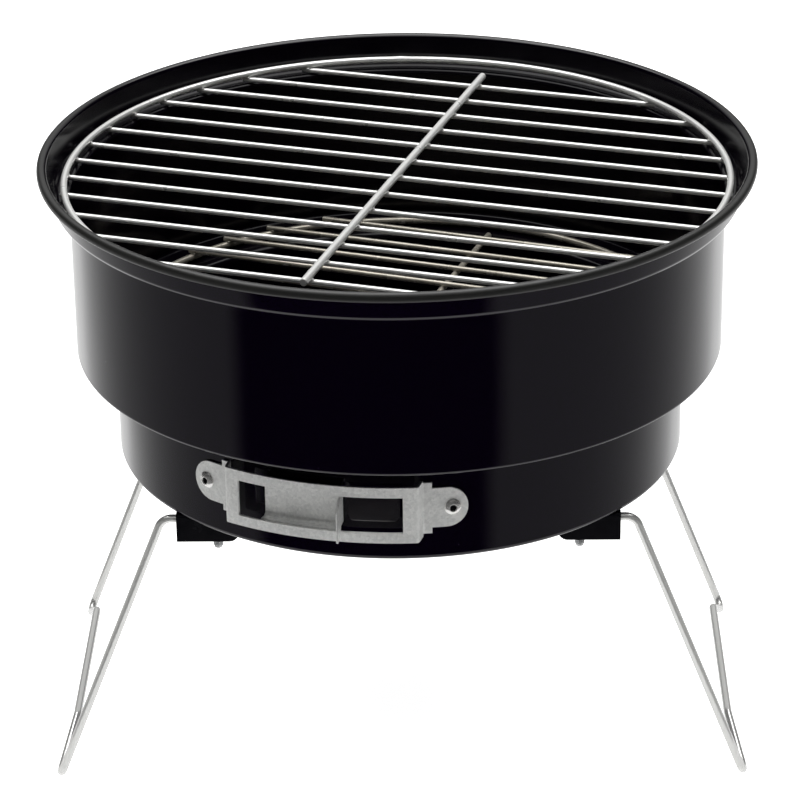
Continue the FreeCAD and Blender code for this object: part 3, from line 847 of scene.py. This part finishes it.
bm = bmesh.new()
nut_top = floor_under - channel
nut_low = nut_top - nut_thick
nut_corner = nut_flats / math.sqrt(3)
plain_cone(bm, nut_corner, nut_low, nut_top, segments=6)
nut = made_piece("nut", bm, zinc)
turned_down = bmesh.new()
corners = [
    Vector((0, 0, nut_low)),
    Vector((nut_flats / 2, 0, nut_low)),
    Vector((nut_corner + 0.0003, 0, nut_low + 0.0006)),
    Vector((nut_corner + 0.0003, 0, nut_top - 0.0006)),
    Vector((nut_flats / 2, 0, nut_top)),
    Vector((0, 0, nut_top)),
]
draw(turned_down, [turned_down.verts.new(corners[0])], corners, [0.0001] * 4, steps=2)
turn_round(turned_down, 48)
cut(nut, made_piece("turned_down", turned_down, zinc), "INTERSECT")
tapped = bmesh.new()
plain_cone(tapped, screw_radius, nut_low - 0.001, nut_top + 0.001)
cut(nut, made_piece("tapped", tapped, zinc))
set_of_four("hexagon_nuts", nut, "bracket_nuts", 0.00005)

# ------------------------------------------------------------------ folding legs
# Two bright plated wire frames, each one wire bent into a wide loop: two ends turned into
# the brackets, two strands, two feet, and a raised bar between them.
knee_x = 0.0963
kink_y = 0.0468
stub_end = 0.059
leg_round = leg_wire / 2
foot_slope = math.radians(32.0)
bends = [0.004, 0.006, 0.0045, 0.004]

leg_chrome, tree, shader = metal("leg_chrome", (0.84, 0.84, 0.82), 0.55, 0.08)
place = tree.node("ShaderNodeTexCoord")["Object"]
drawn = tree.node("ShaderNodeMapping", None, {"Vector": place, "Scale": (1500.0, 1500.0, 40.0)})["Vector"]
drawn_lines = tree.node("ShaderNodeTexNoise", None, {"Vector": drawn, "Scale": 1.0, "Detail": 3.0})["Fac"]
haze = tree.node("ShaderNodeTexNoise", None, {"Vector": place, "Scale": 60.0, "Detail": 4.0})["Fac"]
leg_bump = tree.node("ShaderNodeBump", None, {
    "Height": drawn_lines, "Strength": 0.3, "Distance": 0.000005})["Normal"]
tree.feed(shader, {"Roughness": 0.06 + 0.12 * haze, "Normal": leg_bump})


def bent_wire(bm, corners, bends, radius, segments=24, steps=8):
    """A round wire with eased ends, bent at each inner corner."""
    along = (corners[1] - corners[0]).normalized()
    facing = along.to_track_quat("Z", "Y").to_matrix().to_4x4()
    ring = bmesh.ops.create_circle(bm, cap_ends=False, segments=segments, radius=radius,
                                   matrix=Matrix.Translation(corners[0]) @ facing)["verts"]
    rim = list({edge for vert in ring for edge in vert.link_edges})
    last = draw(bm, ring + rim, corners, bends, steps)
    for loop in (rim, [part for part in last if isinstance(part, bmesh.types.BMEdge)]):
        bmesh.ops.contextual_create(bm, geom=loop)


for side, side_name in ((-1, "left"), (1, "right")):
    body = "leg_" + side_name
    low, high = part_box(body)
    track = high.y - leg_round
    foot_x = max(abs(low.x), abs(high.x)) - leg_round
    splay = math.atan2(foot_x - knee_x, pivot_height - leg_round)
    length = (pivot_height - leg_round) / math.cos(splay)
    corner_drop = bends[2] * (math.tan((math.pi / 2 + foot_slope) / 2) - 1)
    kink = length + corner_drop - (track - kink_y) * math.tan(foot_slope)

    def on_strand(down, across):
        out = knee_x + down * math.sin(splay)
        return Vector((side * out, across, pivot_height - down * math.cos(splay)))

    half = [
        Vector((side * pivot_x, -stub_end, pivot_height)),
        Vector((side * pivot_x, -track, pivot_height)),
        Vector((side * knee_x, -track, pivot_height)),
        on_strand(length + corner_drop, -track),
        on_strand(kink, -kink_y),
    ]
    corners = half + [Vector((point.x, -point.y, point.z)) for point in reversed(half)]
    bm = bmesh.new()
    bent_wire(bm, corners, bends + bends[::-1], leg_round)
    bmesh.ops.recalc_face_normals(bm, faces=bm.faces)
    leg = made_piece("wire_" + body, bm, leg_chrome)
    ease_edges(leg, 0.0003, segments=3, sharper_than=60.0)
    stands_for(leg, body, "leg_chrome", body)

# ------------------------------------------------------------------ wire grids
# Each grid is a ring with 13 parallel bars and one cross bar, resistance welded where the
# wires touch and then plated. The cooking grid is bright; the charcoal grate is dull.
weld_sink = 0.00015


def wire_finish(name, turn, dark, bright, smooth, rough):
    finish, tree, shader = metal(name, bright, 0.5, smooth)
    place = tree.node("ShaderNodeTexCoord")["Object"]
    turned = tree.node("ShaderNodeMapping", None, {
        "Vector": place, "Rotation": (0, 0, -turn), "Scale": (30.0, 900.0, 900.0)})["Vector"]
    lines = tree.node("ShaderNodeTexNoise", None, {"Vector": turned, "Scale": 1.0, "Detail": 3.0})["Fac"]
    patch = tree.node("ShaderNodeTexNoise", None, {"Vector": place, "Scale": 70.0, "Detail": 5.0})["Fac"]
    colour = tree.node("ShaderNodeMix", {"data_type": "RGBA"}, {
        "Factor": patch, 6: (*dark, 1), 7: (*bright, 1)})
    bump = tree.node("ShaderNodeBump", None, {
        "Height": lines, "Strength": 0.3, "Distance": 0.000004})["Normal"]
    tree.feed(shader, {
        "Base Color": Value(tree, colour.all[2]), "Normal": bump,
        "Roughness": smooth + (rough - smooth) * patch})
    return finish


def grid_place(turn, along, across, height):
    return Matrix.Rotation(turn, 3, "Z") @ Vector((along, across, height))


def wire_ring(name, radius, height, wire, finish):
    """A hoop of round wire, with the small swelling of its butt weld at the back."""
    bm = bmesh.new()
    bmesh.ops.create_circle(
        bm, cap_ends=False, segments=20, radius=wire,
        matrix=Matrix.Translation((0, radius, height)) @ Matrix.Rotation(math.pi / 2, 4, "Y"))
    turn_round(bm, 220)
    weld_half = 0.0012
    for vert in bm.verts:
        off = abs(vert.co.x) / weld_half
        if off < 1 and vert.co.y > 0:
            centre = Vector((0, radius, height))
            outward = Vector((0, vert.co.y - centre.y, vert.co.z - centre.z))
            vert.co += outward * (0.10 * (1 - off))
    return made_piece(name, bm, finish)


def straight_bar(name, start, end, radius, finish):
    bm = bmesh.new()
    bent_wire(bm, [start, (start + end) / 2, end], [0.0], radius, segments=20, steps=1)
    bmesh.ops.remove_doubles(bm, verts=bm.verts, dist=1e-7)
    bmesh.ops.recalc_face_normals(bm, faces=bm.faces)
    bar = made_piece(name, bm, finish)
    ease_edges(bar, radius * 0.22, segments=3, sharper_than=60.0)
    return bar


def weld(bm, place, turn, size):
    """The smooth nugget where two wires have sunk into each other."""
    bmesh.ops.create_icosphere(bm, subdivisions=3, radius=1.0, matrix=Matrix.Translation(place)
                               @ Matrix.Rotation(turn, 4, "Z") @ Matrix.Diagonal((*size, 1)))


def wire_grid(body, turn, ring_radius, ring_wire, pitch, shift, reach, cross_wire, cross_offset, cross_half,
              cross_side, finish, slot):
    low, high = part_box(body + "_bar_01")
    bar_height = (low.z + high.z) / 2
    bar_radius = (high.z - low.z) / 2
    ring_low, ring_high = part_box(body + "_ring")
    ring_height = (ring_low.z + ring_high.z) / 2
    ring = wire_ring(body + "_hoop", ring_radius, ring_height, ring_wire, finish)
    stands_for(ring, body, slot, body + "_ring")
    cross_height = bar_height + cross_side * (bar_radius + cross_wire - weld_sink)
    cross = straight_bar(body + "_brace", grid_place(turn, cross_offset, -cross_half, cross_height),
                         grid_place(turn, cross_offset, cross_half, cross_height), cross_wire, finish)
    stands_for(cross, body, slot, body + "_crossbar")
    nuggets = bmesh.new()
    joint_height = bar_height + cross_side * (bar_radius - weld_sink / 2)
    ring_joint = bar_height + math.copysign(bar_radius - weld_sink / 2, ring_height - bar_height)
    for index in range(13):
        across = (index - 6) * pitch + shift
        half = math.sqrt(reach ** 2 - across ** 2)
        designed = "%s_bar_%02d" % (body, index + 1)
        bar = straight_bar("%s_rod_%02d" % (body, index + 1), grid_place(turn, -half, across, bar_height),
                           grid_place(turn, half, across, bar_height), bar_radius, finish)
        stands_for(bar, body, slot, designed)
        weld(nuggets, grid_place(turn, cross_offset, across, joint_height), turn,
             (cross_wire * 1.15, bar_radius * 1.0, 0.00075))
        meet = math.sqrt(ring_radius ** 2 - across ** 2)
        for end in (-1, 1):
            spot = grid_place(turn, end * meet, across, ring_joint)
            weld(nuggets, spot, math.atan2(spot.y, spot.x), (ring_wire * 1.15, bar_radius * 1.05, 0.0007))
    piece = made_piece(body + "_welds", nuggets, finish)
    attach(piece, body)


grate_turn = math.radians(-19.0)
wire_grid("charcoal_grate", grate_turn, ring_radius=0.1250, ring_wire=0.0015, pitch=0.0177, shift=-0.0028,
          reach=0.1268, cross_wire=0.0013, cross_offset=0.0019, cross_half=0.1135, cross_side=-1,
          finish=wire_finish("dull_plate", grate_turn, dark=(0.34, 0.31, 0.25), bright=(0.60, 0.57, 0.50),
                             smooth=0.18, rough=0.36), slot="grate_wire")
grid_turn = math.radians(-17.2)
wire_grid("cooking_grid", grid_turn, ring_radius=0.1367, ring_wire=0.0014, pitch=0.0187, shift=0.0,
          reach=0.1382, cross_wire=0.0016, cross_offset=0.0009, cross_half=0.1195, cross_side=1,
          finish=wire_finish("bright_plate", grid_turn, dark=(0.84, 0.84, 0.82), bright=(0.92, 0.92, 0.90),
                             smooth=0.24, rough=0.34), slot="chromed_wire")
